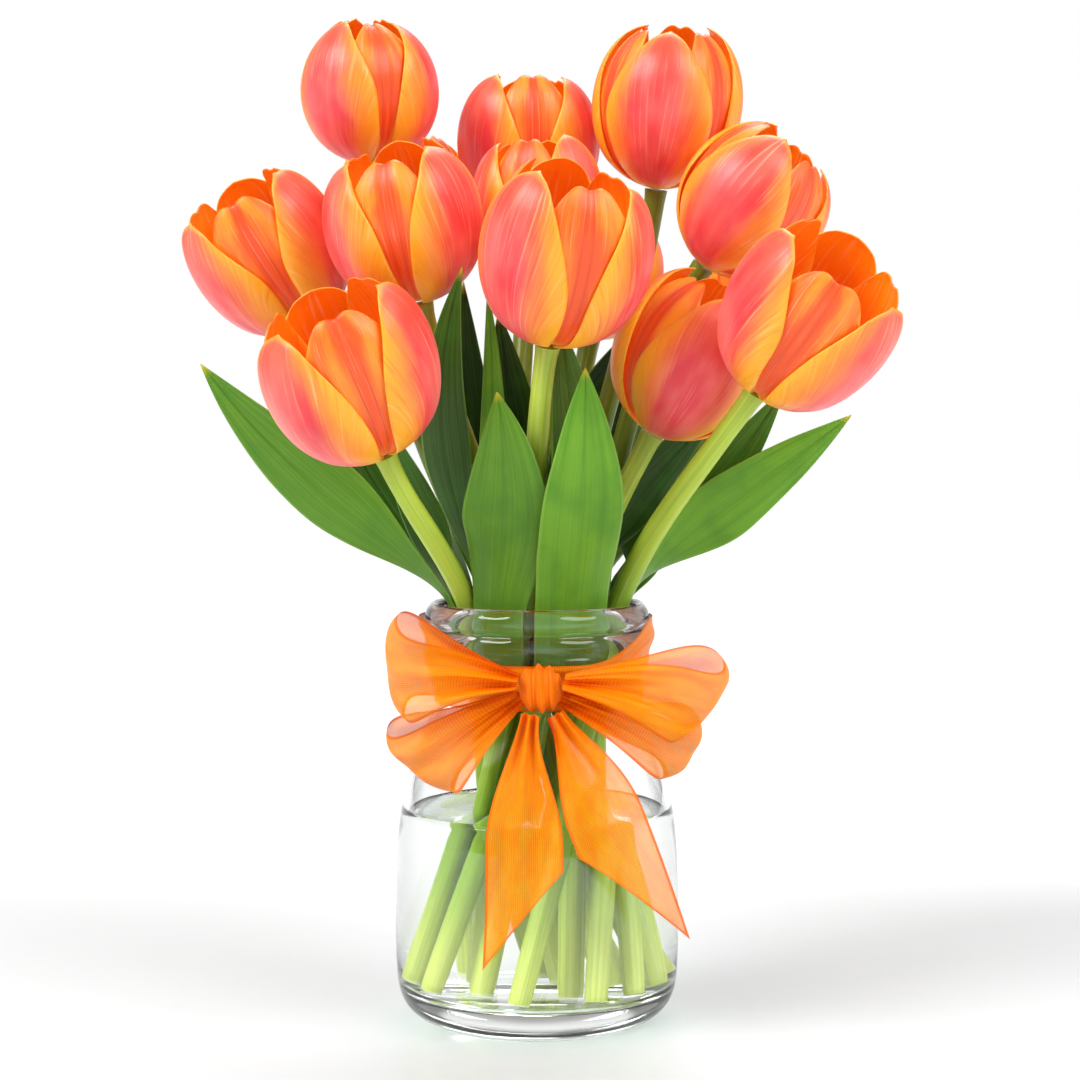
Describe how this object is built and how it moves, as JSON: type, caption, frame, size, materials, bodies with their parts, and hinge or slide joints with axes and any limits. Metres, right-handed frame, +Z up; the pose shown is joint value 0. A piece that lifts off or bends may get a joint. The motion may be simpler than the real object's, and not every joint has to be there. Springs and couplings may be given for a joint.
{
  "type": "tulips in a vase",
  "caption": "Bunch of orange tulips with leaves, standing in a clear glass jar of water with a sheer ribbon bow at its neck.",
  "frame": {"origin": "middle of the jar's flat underside", "axes": "+Z up along the jar's axis, -Y towards the front, where the bow is, +X to the right seen from the front"},
  "size_m": [0.2724, 0.2159, 0.4041],
  "materials": {
    "glass": "clear pressed soda-lime glass, fire polished",
    "water": "clear still water",
    "petal": "satin tulip petal, salmon orange with yellow-orange margins",
    "stem": "smooth waxy yellow-green stem",
    "leaf": "waxy green leaf with parallel veins",
    "organza": "sheer orange organza ribbon with woven edges"
  },
  "bodies": {
    "root": {"vase": "glass", "water": "water", "bloom_01": "petal", "bloom_02": "petal", "bloom_03": "petal", "bloom_04": "petal", "bloom_05": "petal", "bloom_06": "petal", "bloom_07": "petal", "bloom_08": "petal", "bloom_09": "petal", "bloom_10": "petal", "bloom_11": "petal", "bloom_12": "petal", "bloom_13": "petal", "bloom_14": "petal", "bloom_15": "petal", "stem_01": "stem", "stem_02": "stem", "stem_03": "stem", "stem_04": "stem", "stem_05": "stem", "stem_06": "stem", "stem_07": "stem", "stem_08": "stem", "stem_09": "stem", "stem_10": "stem", "stem_11": "stem", "stem_12": "stem", "stem_13": "stem", "stem_14": "stem", "stem_15": "stem", "leaf_01": "leaf", "leaf_02": "leaf", "leaf_03": "leaf", "leaf_04": "leaf", "leaf_05": "leaf", "leaf_06": "leaf", "leaf_07": "leaf", "leaf_08": "leaf", "leaf_09": "leaf", "leaf_10": "leaf", "leaf_11": "leaf", "leaf_12": "leaf", "leaf_13": "leaf", "leaf_14": "leaf", "leaf_15": "leaf", "leaf_16": "leaf", "leaf_17": "leaf", "leaf_18": "leaf", "leaf_19": "leaf", "leaf_20": "leaf", "ribbon_band": "organza", "ribbon_knot": "organza", "ribbon_loop_left_high": "organza", "ribbon_loop_left_low": "organza", "ribbon_loop_right_high": "organza", "ribbon_loop_right_low": "organza", "ribbon_tail_left": "organza", "ribbon_tail_right": "organza"}
  },
  "joints": []
}
